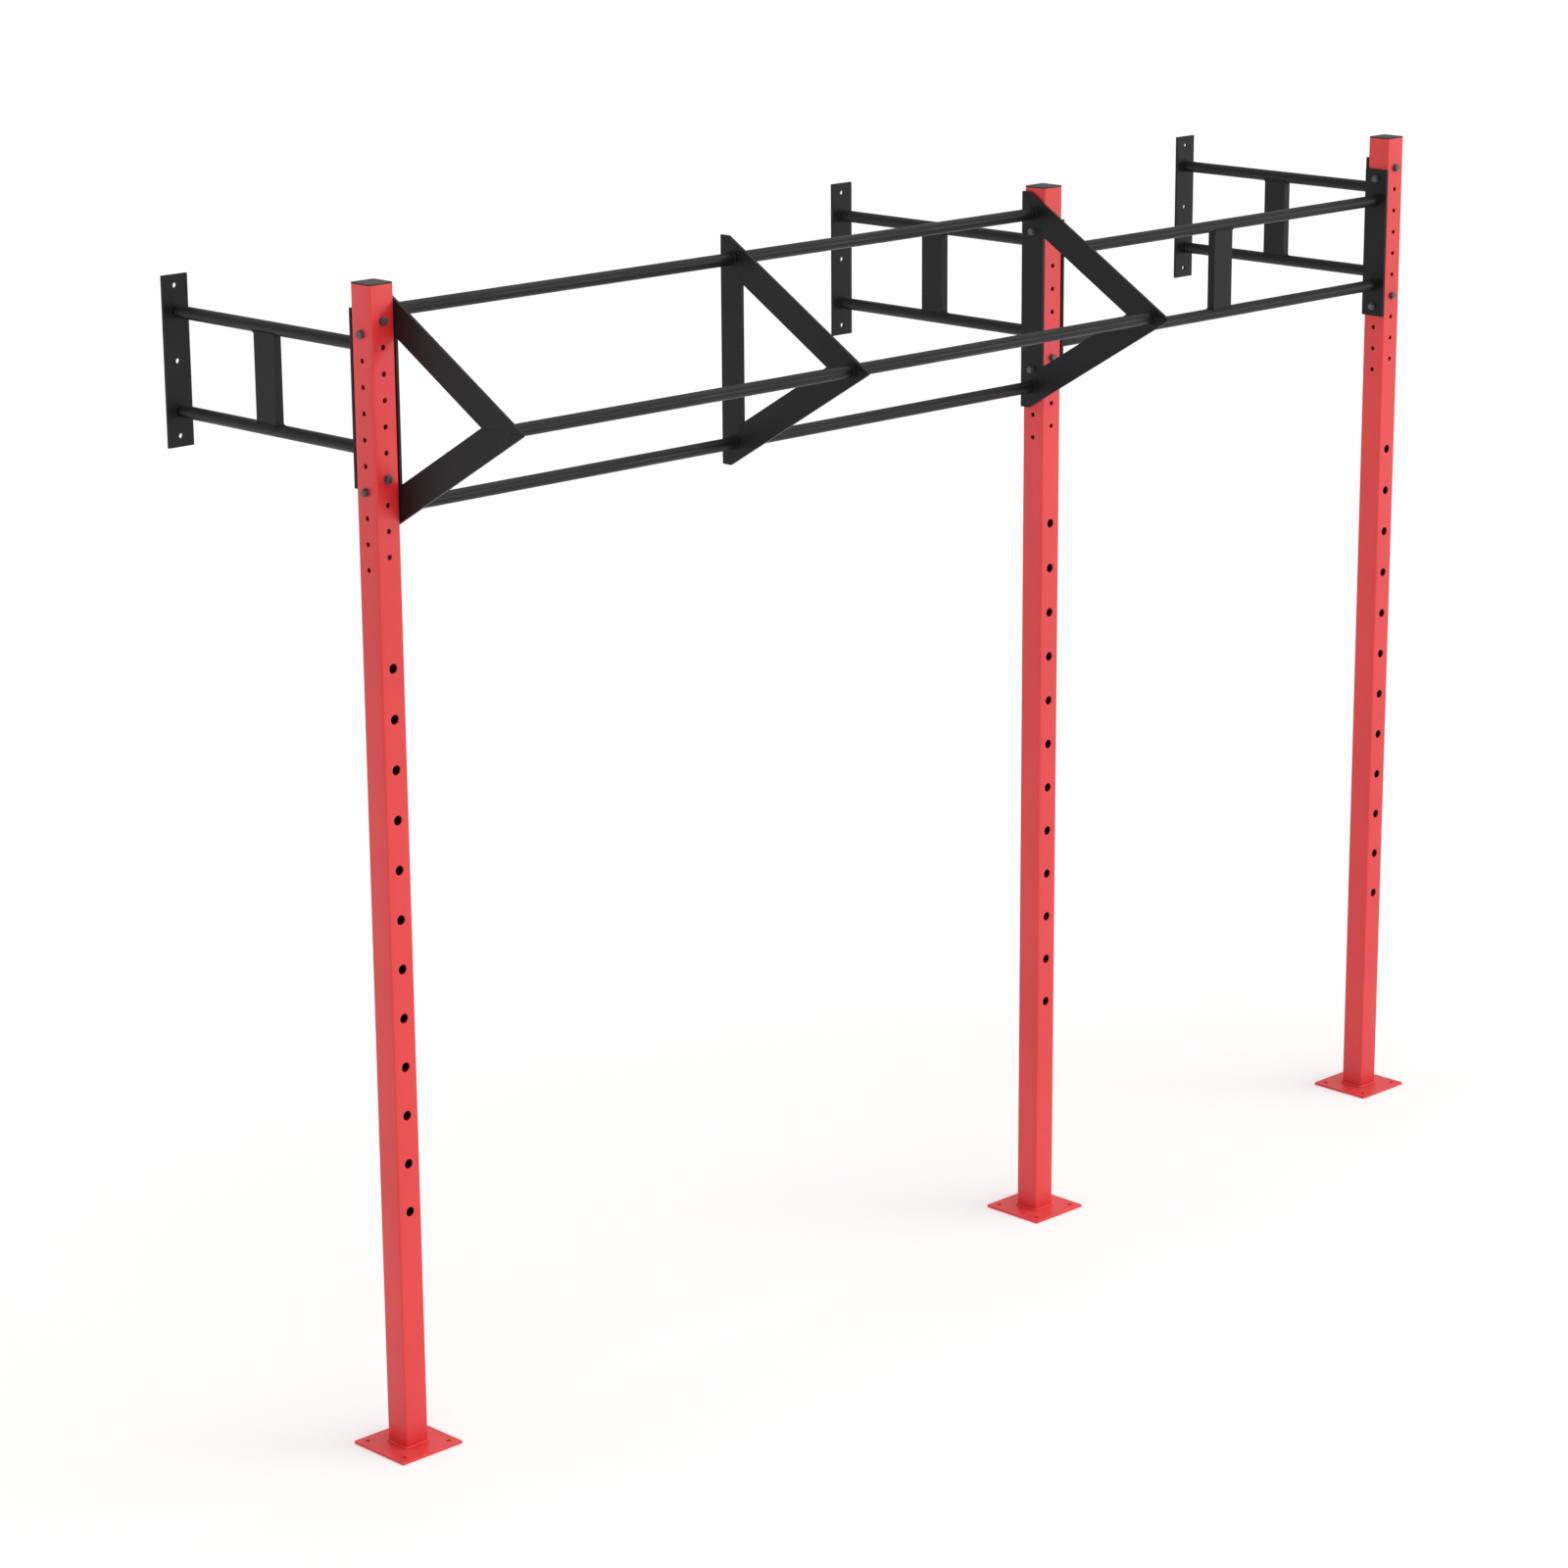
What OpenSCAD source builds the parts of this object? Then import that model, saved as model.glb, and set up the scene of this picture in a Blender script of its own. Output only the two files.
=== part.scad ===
// Wall-mounted training rig: three square uprights on base plates, tied back to a
// wall by welded brackets.  A triangular pull-up frame spans the long bay and a flat
// crossmember spans the short one.  Millimetres, +Z up, +Y towards the wall, and the
// origin on the floor under the middle of the whole rig.

/* [Uprights] */
// Outside width of the square upright tube
post_w = 75; // [60:1:100]
// Wall thickness of the upright tube
post_wall = 4; // [3:0.5:5]
// Outside corner radius of the upright tube
post_r = 6; // [6:1:12]
// Height from the floor to the top of the upright's end cap
post_h = 3065; // [2900:1:3700]
// Thickness of the flange of the plastic end cap
cap_t = 4; // [2:1:8]
// How far the end cap's plug reaches down inside the upright
plug_depth = 20; // [10:1:30]
// Wall thickness of the plug
plug_wall = 2; // [1.5:0.5:3]
// Distance between the centres of the left and middle uprights
long_bay = 2437; // [1500:1:3200]
// Distance between the centres of the middle and right uprights
short_bay = 1558; // [1000:1:2400]

/* [Base plates] */
// Side of the square base plate
base_w = 200; // [180:1:260]
// Thickness of the base plate
base_t = 8; // [5:1:16]
// Distance between anchor holes along each side
anchor_pitch = 150; // [140:1:160]
// Diameter of the anchor holes, in the base plates and in the wall plates
anchor_d = 14; // [8:1:16]

/* [Hole rows] */
// Diameter of the peg holes in the front and rear walls
peg_d = 26; // [16:1:32]
// Number of peg holes in each upright
peg_n = 12; // [2:1:12]
// Height of the lowest peg hole
peg_first = 658; // [300:1:680]
// Spacing of the peg holes
peg_pitch = 131; // [60:1:132]
// Diameter of the bolt holes in the upper part of all four walls
bolt_hole_d = 13.5; // [13:0.5:17]
// Number of bolt holes in each row
grid_n = 10; // [7:1:12]
// Spacing of the bolt holes
grid_pitch = 65.5; // [55:0.5:80]
// Distance from the top of the upright to its highest bolt hole
grid_drop = 93; // [60:1:140]

/* [Flat bar, round bar and struts] */
// Width of the flat bar used for plates and triangles
flat_w = 80; // [66:1:100]
// Thickness of the flat bar
flat_t = 8; // [5:1:12]
// Distance from a plate's bolt holes to its ends
plate_margin = 28.5; // [20:0.5:60]
// Outside diameter of the round bars
bar_d = 33.7; // [26:0.1:40]
// Wall thickness of the round bars
bar_wall = 3; // [2:0.5:5]
// Distance between the two bars of a bracket or of the crossmember
bar_gap = 260; // [120:1:320]
// Thickness of the rectangular tube used for the struts
strut_t = 25; // [15:1:25]
// Wall thickness of the strut tube
strut_wall = 3; // [2:0.5:4]

/* [Wall brackets] */
// Distance from the centre of the uprights to the wall
wall_reach = 808; // [400:1:1400]

/* [Triangular pull-up frame] */
// Depth of a triangle from its rear edge to its sharp nose
tri_depth = 550; // [450:1:700]
// Distance from the triangle's bolts to the nearest pull-up bar
bolt_to_bar = 49.5; // [40:0.5:60]
// Distance from the top and bottom pull-up bars to the sharp corners beyond them
corner_reach = 79; // [70:1:100]
// How much is cut off the sharp top and bottom corners
tip_cut = 18; // [5:1:25]
// Distance from the sharp nose to the centre of the nose bar
nose_inset = 70; // [60:1:90]
// How much is cut off the sharp nose
nose_cut = 6; // [2:1:12]

/* [Fasteners] */
// Diameter of the bolts
bolt_d = 12; // [10:1:13]
// Thickness of a washer
washer_t = 2.5; // [1.5:0.5:4]
// How far a bolt stands out of its nut
bolt_tail = 6; // [2:1:10]

/* [Hidden] */
SIDES = ["left", "middle", "right"];
SIDE_PARTS = ["base_plate", "upright", "upright_cap",
              "bracket_wall_plate", "bracket_post_plate", "bracket_upper_bar",
              "bracket_lower_bar", "bracket_strut", "bracket_bolts",
              "bracket_nuts", "bracket_washers",
              "triangle_leg", "triangle_upper_arm", "triangle_lower_arm",
              "side_bolts", "side_nuts", "side_washers"];
SPAN_PARTS = ["pullup_top_bar", "pullup_nose_bar", "pullup_bottom_bar",
              "crossmember_left_plate", "crossmember_right_plate",
              "crossmember_upper_bar", "crossmember_lower_bar", "crossmember_strut"];

$fn = 48;
post_red = [0.86, 0.16, 0.18];
frame_black = [0.12, 0.12, 0.13];
cap_black = [0.16, 0.16, 0.16];
fastener_grey = [0.42, 0.42, 0.44];
// How far a cutting shape runs past the face that it opens.
past = 1;

// Bolt holes count down from the top; the side rows sit half a pitch below the front
// and rear rows, so that bolts from the two directions miss each other.
row_front = [for (i = [0 : grid_n - 1]) post_h - grid_drop - i * grid_pitch];
row_side = [for (z = row_front) z - grid_pitch / 2];
row_peg = [for (i = [0 : peg_n - 1]) peg_first + i * peg_pitch];

// Every bolted plate uses the top hole of its row and the one six holes below it.
centre_hole = 3;
bolt_rise = centre_hole * grid_pitch;
bracket_z = row_front[centre_hole];
frame_z = row_side[centre_hole];
plate_h = 2 * (bolt_rise + plate_margin);

// Triangle outline in its own plane: y along the depth, z from its centre line.
pull_rise = bolt_rise + bolt_to_bar;
tri_rise = pull_rise + corner_reach;
tri_rear = flat_w / 2;
tri_nose = tri_rear - tri_depth;
tri_slope = atan2(tri_rise, tri_depth);
tri_corner = (-tri_rear - tri_nose) * tan(tri_slope) - flat_w / cos(tri_slope);
tri_crotch = tri_nose + flat_w / sin(tri_slope);
nose_bar_y = tri_nose + nose_inset;

// Faces that meet, measured from the centre of an upright.
post_face = post_w / 2;
plate_face = post_face + flat_t;

// The origin is midway along the row, and midway between the nose and the wall.
post_x = [-long_bay - short_bay, long_bay - short_bay, long_bay + short_bay] / 2;
post_y = -(tri_nose + nose_cut + wall_reach) / 2;

// Fastener sizes follow the bolt.
hex_across = 1.5 * bolt_d;
head_t = 0.625 * bolt_d;
nut_t = 0.9 * bolt_d;
washer_d = 1.9 * bolt_d;
washer_hole = bolt_d + 1;

// The first and last face that each upright's sideways bolts clamp.
SIDE_CLAMP = [[-post_face, plate_face], [-plate_face, plate_face], [-plate_face, post_face]];

// ---- Shared shapes -------------------------------------------------------------

// Puts its children at the foot of an upright.
module at_post(i) {
    translate([post_x[i], post_y, 0]) children();
}

// Turns children that point up so that they point towards +X or +Y.
module toward_x() {
    rotate([0, 90, 0]) children();
}
module toward_y() {
    rotate([-90, 0, 0]) children();
}

module round_square(w, r) {
    square([w - 2 * r, w], center = true);
    square([w, w - 2 * r], center = true);
    for (x = [-1, 1], y = [-1, 1])
        translate([x * (w / 2 - r), y * (w / 2 - r)]) circle(r);
}

// A hole right through the upright, centred on its axis.
module through_hole(d) {
    cylinder(d = d, h = post_w + 2 * past, center = true);
}

module round_tube(length) {
    difference() {
        cylinder(d = bar_d, h = length);
        translate([0, 0, -past]) cylinder(d = bar_d - 2 * bar_wall, h = length + 2 * past);
    }
}

// Plate standing on end across X, its back on y = 0, holes at the heights given.
module bolted_plate(w, hole_d, holes) {
    difference() {
        translate([-w / 2, 0, -plate_h / 2]) cube([w, flat_t, plate_h]);
        for (z = holes) translate([0, -past, z])
            toward_y() cylinder(d = hole_d, h = flat_t + 2 * past);
    }
}

// Rectangular tube between two bars that run along X, its ends coped to sit on them.
module coped_strut() {
    difference() {
        cube([flat_w, strut_t, bar_gap], center = true);
        cube([flat_w - 2 * strut_wall, strut_t - 2 * strut_wall, bar_gap + 2 * past],
             center = true);
        for (z = [-1, 1]) translate([0, 0, z * bar_gap / 2])
            toward_x() cylinder(d = bar_d, h = flat_w + 2 * past, center = true);
    }
}

module hexagon(h) {
    cylinder(d = hex_across / cos(30), h = h, $fn = 6);
}

// Fasteners point up, with clamp giving the first and the last face they grip.
module hex_bolt(clamp) {
    translate([0, 0, clamp[0] - washer_t - head_t]) hexagon(head_t);
    translate([0, 0, clamp[0] - washer_t])
        cylinder(d = bolt_d, h = clamp[1] - clamp[0] + 2 * washer_t + nut_t + bolt_tail);
}

module hex_nut(clamp) {
    translate([0, 0, clamp[1] + washer_t]) difference() {
        hexagon(nut_t);
        translate([0, 0, -past]) cylinder(d = bolt_d, h = nut_t + 2 * past);
    }
}

module washer_pair(clamp) {
    for (z = [clamp[0] - washer_t, clamp[1]]) translate([0, 0, z]) difference() {
        cylinder(d = washer_d, h = washer_t);
        translate([0, 0, -past]) cylinder(d = washer_hole, h = washer_t + 2 * past);
    }
}

// A pair of fasteners through an upright, towards the wall or along the row.
module bracket_fasteners(i) {
    color(fastener_grey) at_post(i) for (z = [-1, 1])
        translate([0, 0, bracket_z + z * bolt_rise]) toward_y() children();
}
module side_fasteners(i) {
    color(fastener_grey) at_post(i) for (z = [-1, 1])
        translate([0, 0, frame_z + z * bolt_rise]) toward_x() children();
}

// ---- Uprights ------------------------------------------------------------------

module base_plate(i) {
    color(post_red) at_post(i) difference() {
        translate([-base_w / 2, -base_w / 2, 0]) cube([base_w, base_w, base_t]);
        for (x = [-1, 1], y = [-1, 1])
            translate([x * anchor_pitch / 2, y * anchor_pitch / 2, -past])
                cylinder(d = anchor_d, h = base_t + 2 * past);
    }
}

module upright(i) {
    color(post_red) at_post(i) difference() {
        translate([0, 0, base_t]) linear_extrude(post_h - cap_t - base_t) difference() {
            round_square(post_w, post_r);
            round_square(post_w - 2 * post_wall, post_r - post_wall);
        }
        for (z = row_peg) translate([0, 0, z]) toward_y() through_hole(peg_d);
        for (z = row_front) translate([0, 0, z]) toward_y() through_hole(bolt_hole_d);
        for (z = row_side) translate([0, 0, z]) toward_x() through_hole(bolt_hole_d);
    }
}

// Plastic end cap: a flange as wide as the upright on a hollow plug that grips its bore.
module upright_cap(i) {
    color(cap_black) at_post(i) {
        translate([0, 0, post_h - cap_t]) linear_extrude(cap_t) round_square(post_w, post_r);
        translate([0, 0, post_h - cap_t - plug_depth]) difference() {
            linear_extrude(plug_depth) round_square(post_w - 2 * post_wall, post_r - post_wall);
            translate([0, 0, -past]) linear_extrude(plug_depth + past)
                square(post_w - 2 * (post_wall + plug_wall), center = true);
        }
    }
}

// ---- Wall brackets -------------------------------------------------------------

module bracket_wall_plate(i) {
    color(frame_black) at_post(i) translate([0, wall_reach - flat_t, bracket_z])
        bolted_plate(flat_w, anchor_d, [-bolt_rise, 0, bolt_rise]);
}

// As wide as the upright, so that it stays clear of the plates bolted to the sides.
module bracket_post_plate(i) {
    color(frame_black) at_post(i) translate([0, post_face, bracket_z])
        bolted_plate(post_w, bolt_hole_d, [-bolt_rise, bolt_rise]);
}

// up is 1 for the upper bar and -1 for the lower one.
module bracket_bar(i, up) {
    color(frame_black) at_post(i)
        translate([0, plate_face, bracket_z + up * bar_gap / 2])
            toward_y() round_tube(wall_reach - flat_t - plate_face);
}

module bracket_strut(i) {
    color(frame_black) at_post(i)
        translate([0, (post_face + wall_reach) / 2, bracket_z])
            rotate([0, 0, 90]) coped_strut();
}

// ---- Triangular pull-up frame --------------------------------------------------

// The first and last triangle lie against their uprights, the middle one at mid-span.
tri_x = [post_x[0] + post_face, (post_x[0] + post_x[1] - flat_t) / 2, post_x[1] - plate_face];
pull_x = [tri_x[0] + flat_t, tri_x[2]];

// Stands a flat outline, given as [y, z], in the plane of triangle i.
module triangle_piece(i, outline) {
    color(frame_black) translate([tri_x[i], post_y, frame_z]) difference() {
        rotate([90, 0, 90]) linear_extrude(flat_t) intersection() {
            polygon(outline);
            translate([tri_nose + nose_cut, tip_cut - tri_rise])
                square([tri_depth, 2 * (tri_rise - tip_cut)]);
        }
        // The long bars run through the middle triangle and end on the other two.
        if (i == 1) for (p = [[0, pull_rise], [nose_bar_y, 0], [0, -pull_rise]])
            translate([-past, p[0], p[1]]) toward_x() cylinder(d = bar_d, h = flat_t + 2 * past);
        else for (z = [-1, 1])
            translate([-past, 0, z * bolt_rise])
                toward_x() cylinder(d = bolt_hole_d, h = flat_t + 2 * past);
    }
}

module triangle_leg(i) {
    triangle_piece(i, [[tri_rear, tri_rise], [tri_rear, -tri_rise],
                       [-tri_rear, -tri_corner], [-tri_rear, tri_corner]]);
}

// up is 1 for the upper arm and -1 for the lower one; they meet on the centre line.
module triangle_arm(i, up) {
    triangle_piece(i, [[tri_rear, up * tri_rise], [-tri_rear, up * tri_corner],
                       [tri_crotch, 0], [tri_nose, 0]]);
}

module pullup_bar(y, rise) {
    color(frame_black) translate([pull_x[0], post_y + y, frame_z + rise])
        toward_x() round_tube(pull_x[1] - pull_x[0]);
}

// ---- Crossmember ---------------------------------------------------------------

// plate_x is the face of the plate that is nearer to the left end of the rig.
module crossmember_plate(plate_x) {
    color(frame_black) translate([plate_x + flat_t, post_y, frame_z])
        rotate([0, 0, 90]) bolted_plate(flat_w, bolt_hole_d, [-bolt_rise, bolt_rise]);
}

module crossmember_bar(up) {
    color(frame_black)
        translate([post_x[1] + plate_face, post_y, frame_z + up * bar_gap / 2])
            toward_x() round_tube(short_bay - 2 * plate_face);
}

module crossmember_strut() {
    color(frame_black)
        translate([(post_x[1] + post_x[2]) / 2, post_y, frame_z]) coped_strut();
}

// ---- Nodes ---------------------------------------------------------------------

for (i = [0 : 2]) let (side = SIDES[i]) {
    base_plate(i);
    upright(i);
    upright_cap(i);
    bracket_wall_plate(i);
    bracket_post_plate(i);
    bracket_bar(i, 1);
    bracket_bar(i, -1);
    bracket_strut(i);
    bracket_fasteners(i) hex_bolt([-post_face, plate_face]);
    bracket_fasteners(i) hex_nut([-post_face, plate_face]);
    bracket_fasteners(i) washer_pair([-post_face, plate_face]);
    triangle_leg(i);
    triangle_arm(i, 1);
    triangle_arm(i, -1);
    side_fasteners(i) hex_bolt(SIDE_CLAMP[i]);
    side_fasteners(i) hex_nut(SIDE_CLAMP[i]);
    side_fasteners(i) washer_pair(SIDE_CLAMP[i]);
}
pullup_bar(0, pull_rise);  // pullup_top_bar
pullup_bar(nose_bar_y, 0);  // pullup_nose_bar
pullup_bar(0, -pull_rise);  // pullup_bottom_bar
crossmember_plate(post_x[1] + post_face);  // crossmember_left_plate
crossmember_plate(post_x[2] - plate_face);  // crossmember_right_plate
crossmember_bar(1);  // crossmember_upper_bar
crossmember_bar(-1);  // crossmember_lower_bar
crossmember_strut();
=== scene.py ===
import math

import bmesh
import bpy
from mathutils import Matrix, Vector


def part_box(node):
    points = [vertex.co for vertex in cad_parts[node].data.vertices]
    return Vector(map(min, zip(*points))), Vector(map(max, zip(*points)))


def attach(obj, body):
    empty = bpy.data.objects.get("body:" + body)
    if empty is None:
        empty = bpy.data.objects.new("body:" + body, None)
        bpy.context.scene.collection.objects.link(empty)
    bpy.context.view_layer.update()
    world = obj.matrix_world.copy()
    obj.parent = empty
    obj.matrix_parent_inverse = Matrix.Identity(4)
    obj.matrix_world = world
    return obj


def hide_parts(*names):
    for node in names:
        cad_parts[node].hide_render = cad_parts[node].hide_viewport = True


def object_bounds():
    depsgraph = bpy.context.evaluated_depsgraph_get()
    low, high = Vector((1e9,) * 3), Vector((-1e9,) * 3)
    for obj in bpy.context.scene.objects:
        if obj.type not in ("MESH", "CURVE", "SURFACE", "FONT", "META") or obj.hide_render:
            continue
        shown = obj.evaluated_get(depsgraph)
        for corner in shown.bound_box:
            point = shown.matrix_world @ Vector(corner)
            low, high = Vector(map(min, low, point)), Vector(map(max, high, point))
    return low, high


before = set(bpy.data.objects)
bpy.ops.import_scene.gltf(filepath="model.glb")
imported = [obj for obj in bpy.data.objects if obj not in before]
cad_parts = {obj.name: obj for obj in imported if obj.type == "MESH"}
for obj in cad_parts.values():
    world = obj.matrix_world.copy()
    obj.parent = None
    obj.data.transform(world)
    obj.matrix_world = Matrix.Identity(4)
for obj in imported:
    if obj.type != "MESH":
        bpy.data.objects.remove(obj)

cad_low, cad_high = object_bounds()
SIDES = ("left", "middle", "right")

# ---- Camera ----------------------------------------------------------------------
# It stands in front of the rig and to its left, higher than the pull-up bars, and
# looks down at the middle of the rig through a long lens.

swing = math.radians(44.4)
tilt = math.radians(15.27)
roll = math.radians(-0.40)
forward = Vector((math.sin(swing) * math.cos(tilt), math.cos(swing) * math.cos(tilt),
                  -math.sin(tilt)))
right = Vector((math.cos(swing), -math.sin(swing), 0))
up = right.cross(forward)
aim_left = 0.323
aim_down = 0.151
aim = (cad_low + cad_high) / 2 - aim_left * right - aim_down * up
stand_off = 12.474

camera = bpy.data.objects.new("camera", bpy.data.cameras.new("camera"))
bpy.context.scene.collection.objects.link(camera)
level = Matrix((right, up, -forward)).transposed()
camera.matrix_world = (Matrix.Translation(aim - stand_off * forward)
                       @ level.to_4x4() @ Matrix.Rotation(roll, 4, "Z"))
camera.data.lens = 99.92
camera.data.clip_end = 5000
bpy.context.scene.camera = camera

# ---- Studio ----------------------------------------------------------------------
# A plain pale floor that runs to the horizon, an even sky, a very wide soft light
# high over the front, and a low one at the front right that puts a sheen on the
# front faces.


def wired(tree, kind, settings=None, **sockets):
    """A node with its own settings, and a value or another node's output on its sockets."""
    node = tree.nodes.new(kind)
    for label, value in (settings or {}).items():
        setattr(node, label, value)
    for label, value in sockets.items():
        socket = node.inputs[label.replace("_", " ")]
        if isinstance(value, bpy.types.NodeSocket):
            tree.links.new(value, socket)
        else:
            socket.default_value = value
    return node


floor_reach = 2000
floor = bpy.data.objects.new("studio_floor", bpy.data.meshes.new("studio_floor"))
floor.data.from_pydata([(x * floor_reach, y * floor_reach, 0)
                        for x, y in ((-1, -1), (1, -1), (1, 1), (-1, 1))], [], [(0, 1, 2, 3)])
bpy.context.scene.collection.objects.link(floor)
paper = bpy.data.materials.new("studio_paper")
paper.use_nodes = True
sheet = paper.node_tree.nodes["Principled BSDF"].inputs
sheet["Base Color"].default_value = (0.97, 0.97, 0.965, 1)
sheet["Roughness"].default_value = 1
sheet["Specular IOR Level"].default_value = 0
floor.data.materials.append(paper)

# To the camera the sky is as pale as the floor, though it lights the rig less.
sky = bpy.data.worlds.new("studio_sky")
sky.use_nodes = True
sky_light = sky.node_tree.nodes["Background"]
sky_light.inputs["Color"].default_value = (1, 1, 1, 1)
seen = wired(sky.node_tree, "ShaderNodeLightPath").outputs["Is Camera Ray"]
strength = wired(sky.node_tree, "ShaderNodeMapRange", Value=seen, To_Min=0.58, To_Max=1.0)
sky.node_tree.links.new(strength.outputs["Result"], sky_light.inputs["Strength"])
bpy.context.scene.world = sky

for name, energy, spread, toward in (("softbox", 1.60, 70, (0.20, -0.40, 1.00)),
                                     ("sheen_light", 0.70, 24, (0.70, -0.70, 0.06))):
    light = bpy.data.objects.new(name, bpy.data.lights.new(name, "SUN"))
    light.data.energy = energy
    light.data.angle = math.radians(spread)
    light.rotation_euler = Vector(toward).to_track_quat("Z", "Y").to_euler()
    bpy.context.scene.collection.objects.link(light)
bpy.context.scene.view_settings.view_transform = "Standard"

# ---- Base plates -----------------------------------------------------------------
# Squares of 8 mm plate, sawn and drilled for four floor anchors.  Powder coated red
# with the upright: the coat sets in a fine orange peel, pulls thin over the edges,
# where it is lightened in patches as a painted highlight, and has a little dust
# lying on it.


def maths(tree, operation, *values):
    """A maths node, with a number or another node's output on each of its inputs."""
    node = wired(tree, "ShaderNodeMath", {"operation": operation})
    for socket, value in zip(node.inputs, values):
        if isinstance(value, bpy.types.NodeSocket):
            tree.links.new(value, socket)
        else:
            socket.default_value = value
    return node.outputs[0]


def band(tree, value, low, high):
    """Value, stretched so that low becomes 0 and high becomes 1, and limited to that."""
    return wired(tree, "ShaderNodeMapRange", Value=value, From_Min=low, From_Max=high).outputs[0]


def noise(tree, scale, detail):
    """Noise through the whole piece, with about scale cells to a metre."""
    place = wired(tree, "ShaderNodeTexCoord").outputs["Object"]
    return wired(tree, "ShaderNodeTexNoise", Vector=place, Scale=scale, Detail=detail).outputs["Fac"]


def tinted(tree, mask, below, above):
    """A colour that goes from below to above with the mask. Either may be an output."""
    node = wired(tree, "ShaderNodeMix", {"data_type": "RGBA"}, Factor=mask)
    for socket, colour in zip((node.inputs[6], node.inputs[7]), (below, above)):
        if isinstance(colour, tuple):
            socket.default_value = (*colour, 1)
        else:
            tree.links.new(colour, socket)
    return node.outputs[2]


def shader_group(name, numbers, outputs):
    """An empty shader node group with named number inputs and named outputs."""
    group = bpy.data.node_groups.new(name, "ShaderNodeTree")
    for label, value in numbers.items():
        group.interface.new_socket(label, in_out="INPUT", socket_type="NodeSocketFloat")
        group.interface.items_tree[label].default_value = value
    for label in outputs:
        group.interface.new_socket(label, in_out="OUTPUT", socket_type="NodeSocketFloat")
    return group, group.nodes.new("NodeGroupInput").outputs, group.nodes.new("NodeGroupOutput").inputs


def placed(tree, group, **numbers):
    """Puts a shader group in a material's tree, with this material's own numbers."""
    return wired(tree, "ShaderNodeGroup", {"node_tree": group}, **numbers).outputs


# Orange peel: soft cells about as wide as Peel Size, in metres, with a fine grain on them.
orange_peel, taken, given = shader_group(
    "orange_peel", {"Peel Size": 0.002, "Grain Share": 0.3}, ["Height", "Tone"])
cells = noise(orange_peel, maths(orange_peel, "DIVIDE", 1.0, taken["Peel Size"]), 1.0)
grain = noise(orange_peel, maths(orange_peel, "DIVIDE", 6.0, taken["Peel Size"]), 3.0)
peel = maths(orange_peel, "MULTIPLY_ADD", grain, taken["Grain Share"], cells)
orange_peel.links.new(peel, given["Height"])
orange_peel.links.new(band(orange_peel, noise(orange_peel, 2.5, 4.0), 0.3, 0.7), given["Tone"])

# Thin edges and painted highlight: lighter patches along the rounded edges, which the attribute
# "edge" marks.
thin_edge_and_highlight, taken, given = shader_group("thin_edge_and_highlight", {"Patch Size": 0.03, "Amount": 0.5}, ["Mask"])
edge = wired(thin_edge_and_highlight, "ShaderNodeAttribute", {"attribute_name": "edge"}).outputs["Fac"]
patch = noise(thin_edge_and_highlight, maths(thin_edge_and_highlight, "DIVIDE", 1.0, taken["Patch Size"]), 5.0)
patch = maths(thin_edge_and_highlight, "MULTIPLY", band(thin_edge_and_highlight, patch, 0.40, 0.62), taken["Amount"])
thin_edge_and_highlight.links.new(maths(thin_edge_and_highlight, "MULTIPLY", patch, edge), given["Mask"])

# Dust lies where a face looks up, in soft clouds.
settled_dust, taken, given = shader_group("settled_dust", {"Amount": 0.3}, ["Mask"])
facing = wired(settled_dust, "ShaderNodeNewGeometry").outputs["Normal"]
upward = wired(settled_dust, "ShaderNodeSeparateXYZ", Vector=facing).outputs["Z"]
upward = band(settled_dust, upward, 0.55, 1.0)
cloud = band(settled_dust, noise(settled_dust, 9.0, 6.0), 0.35, 0.75)
lying = maths(settled_dust, "MULTIPLY", maths(settled_dust, "MULTIPLY", upward, cloud),
              taken["Amount"])
settled_dust.links.new(lying, given["Mask"])


FLOOR_DUST = (0.42, 0.40, 0.37)


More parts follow.
